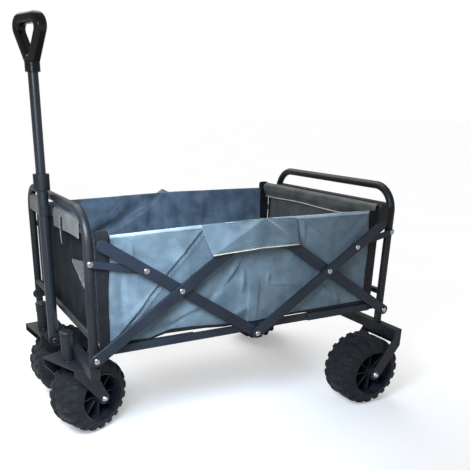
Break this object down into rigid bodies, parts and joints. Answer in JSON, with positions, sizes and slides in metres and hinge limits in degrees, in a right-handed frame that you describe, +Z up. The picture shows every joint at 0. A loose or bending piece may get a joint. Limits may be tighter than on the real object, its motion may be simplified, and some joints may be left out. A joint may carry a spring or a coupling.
{
  "type": "beach cart",
  "caption": "Folding beach cart with a fabric basket on a scissor frame, wide balloon wheels, swivelling front casters and a telescopic pull handle with a loop grip.",
  "frame": {"origin": "on the ground, at the middle of the bounding box seen from above", "axes": "+X from the pull handle end to the rear, -Y the left side, +Z up"},
  "size_m": [0.8822, 0.6524, 0.911],
  "materials": {
    "frame_paint": "satin",
    "bar_paint": "satin",
    "bright_steel": "polished",
    "plated_steel": "satin",
    "handle_tube": "satin",
    "black_plastic": "matte",
    "grip_plastic": "gloss",
    "tyre_rubber": "matte",
    "rim_plastic": "satin",
    "side_fabric": "woven",
    "end_fabric": "woven"
  },
  "bodies": {
    "front_frame": {"front_hoop": "frame_paint", "front_beam": "frame_paint", "front_lower_tube": "frame_paint", "front_panel_rod": "frame_paint", "caster_housing_left": "frame_paint", "caster_housing_right": "frame_paint", "handle_bracket": "frame_paint", "handle_hinge_pin": "bright_steel", "handle_clip": "black_plastic", "front_frame_rivets": "bright_steel", "front_rail_brackets": "frame_paint", "front_end_panel": "end_fabric", "side_panel_left": "side_fabric", "side_panel_right": "side_fabric", "basket_floor": "side_fabric", "top_pivot_flaps": "side_fabric"},
    "handle": {"handle_outer_tube": "handle_tube", "handle_collar": "black_plastic"},
    "grip": {"handle_inner_tube": "handle_tube", "handle_grip": "grip_plastic"},
    "caster_left": {"caster_fork_left": "frame_paint", "caster_axle_left": "plated_steel"},
    "caster_right": {"caster_fork_right": "frame_paint", "caster_axle_right": "plated_steel"},
    "front_wheel_left": {"front_wheel_left_tyre": "tyre_rubber", "front_wheel_left_rim": "rim_plastic"},
    "front_wheel_right": {"front_wheel_right_tyre": "tyre_rubber", "front_wheel_right_rim": "rim_plastic"},
    "front_outer_bars": {"front_outer_bar_left": "bar_paint", "front_outer_bar_right": "bar_paint", "front_outer_bar_rivets": "bright_steel"},
    "front_corner_bars": {"front_corner_bar_left": "bar_paint", "front_corner_bar_right": "bar_paint", "front_corner_bar_rivets": "bright_steel", "front_corner_caps": "black_plastic"},
    "rear_inner_bars": {"rear_inner_bar_left": "bar_paint", "rear_inner_bar_right": "bar_paint", "rear_inner_bar_rivets": "bright_steel"},
    "rear_corner_bars": {"rear_corner_bar_left": "bar_paint", "rear_corner_bar_right": "bar_paint", "rear_corner_bar_rivets": "bright_steel", "rear_corner_caps": "black_plastic"},
    "rear_frame": {"rear_hoop": "frame_paint", "rear_beam": "frame_paint", "rear_lower_tube": "frame_paint", "rear_panel_rod": "frame_paint", "rear_wheel_bracket_left": "frame_paint", "rear_wheel_bracket_right": "frame_paint", "rear_axles": "plated_steel", "rear_frame_rivets": "bright_steel", "rear_rail_brackets": "frame_paint", "rear_end_panel": "end_fabric"},
    "rear_wheel_left": {"rear_wheel_left_tyre": "tyre_rubber", "rear_wheel_left_rim": "rim_plastic"},
    "rear_wheel_right": {"rear_wheel_right_tyre": "tyre_rubber", "rear_wheel_right_rim": "rim_plastic"},
    "front_links": {"front_links": "bar_paint"},
    "rear_links": {"rear_links": "bar_paint"},
    "front_rails": {"front_rails": "bar_paint"},
    "rear_rails": {"rear_rails": "bar_paint"}
  },
  "joints": [
    {"name": "fold", "type": "hinge", "parent": "front_frame", "child": "front_outer_bars", "pos_m": [-0.37017, 0, 0.24], "axis": [0, -1, 0], "range_deg": [0, 44], "deforming": ["side_panel_left", "side_panel_right", "basket_floor", "top_pivot_flaps"]},
    {"name": "front_cross", "type": "hinge", "parent": "front_outer_bars", "child": "front_corner_bars", "pos_m": [-0.17542, 0, 0.36647], "axis": [0, -1, 0], "range_deg": [-88, 0]},
    {"name": "top_cross", "type": "hinge", "parent": "front_outer_bars", "child": "rear_inner_bars", "pos_m": [0.01933, 0, 0.49294], "axis": [0, -1, 0], "range_deg": [-88, 0]},
    {"name": "rear_cross", "type": "hinge", "parent": "rear_inner_bars", "child": "rear_corner_bars", "pos_m": [0.21408, 0, 0.36647], "axis": [0, -1, 0], "range_deg": [0, 88]},
    {"name": "rear_foot", "type": "hinge", "parent": "rear_inner_bars", "child": "rear_frame", "pos_m": [0.40883, 0, 0.24], "axis": [0, -1, 0], "range_deg": [0, 44]},
    {"name": "front_link_swing", "type": "hinge", "parent": "front_frame", "child": "front_links", "pos_m": [-0.37017, 0, 0.44156], "axis": [0, -1, 0], "range_deg": [0, 86.63]},
    {"name": "rear_link_swing", "type": "hinge", "parent": "rear_frame", "child": "rear_links", "pos_m": [0.40883, 0, 0.44156], "axis": [0, -1, 0], "range_deg": [-86.63, 0]},
    {"name": "front_rail_swing", "type": "hinge", "parent": "front_frame", "child": "front_rails", "pos_m": [-0.32517, 0, 0.2505], "axis": [0, -1, 0], "range_deg": [0, 80.07]},
    {"name": "rear_rail_swing", "type": "hinge", "parent": "rear_frame", "child": "rear_rails", "pos_m": [0.36383, 0, 0.2505], "axis": [0, -1, 0], "range_deg": [-80.07, 0]},
    {"name": "handle_swing", "type": "hinge", "parent": "front_frame", "child": "handle", "pos_m": [-0.39467, 0, 0.203], "axis": [0, -1, 0], "range_deg": [0, 100]},
    {"name": "handle_slide", "type": "slide", "parent": "handle", "child": "grip", "axis": [0, 0, -1], "range_m": [0, 0.2]},
    {"name": "caster_left_swivel", "type": "hinge", "parent": "front_frame", "child": "caster_left", "pos_m": [-0.39367, -0.118, 0.194], "axis": [0, 0, 1], "continuous": true},
    {"name": "caster_right_swivel", "type": "hinge", "parent": "front_frame", "child": "caster_right", "pos_m": [-0.39367, 0.118, 0.194], "axis": [0, 0, 1], "continuous": true},
    {"name": "front_wheel_left_spin", "type": "hinge", "parent": "caster_left", "child": "front_wheel_left", "pos_m": [-0.34251, -0.09522, 0.09], "axis": [-0.4067, 0.9135, 0], "continuous": true},
    {"name": "front_wheel_right_spin", "type": "hinge", "parent": "caster_right", "child": "front_wheel_right", "pos_m": [-0.33809, 0.12482, 0.09], "axis": [-0.1219, 0.9925, 0], "continuous": true},
    {"name": "rear_wheel_left_spin", "type": "hinge", "parent": "rear_frame", "child": "rear_wheel_left", "pos_m": [0.35033, -0.262, 0.09], "axis": [0, 1, 0], "continuous": true},
    {"name": "rear_wheel_right_spin", "type": "hinge", "parent": "rear_frame", "child": "rear_wheel_right", "pos_m": [0.35033, 0.262, 0.09], "axis": [0, 1, 0], "continuous": true}
  ],
  "couplings": [
    {"joint": "front_cross", "follows": "fold", "ratio": -2},
    {"joint": "top_cross", "follows": "fold", "ratio": -2},
    {"joint": "rear_cross", "follows": "fold", "ratio": 2},
    {"joint": "rear_foot", "follows": "fold", "ratio": 1},
    {"joint": "front_link_swing", "follows": "fold", "ratio": 1.9687},
    {"joint": "rear_link_swing", "follows": "fold", "ratio": -1.9687},
    {"joint": "front_rail_swing", "follows": "fold", "ratio": 1.8195},
    {"joint": "rear_rail_swing", "follows": "fold", "ratio": -1.8195}
  ]
}
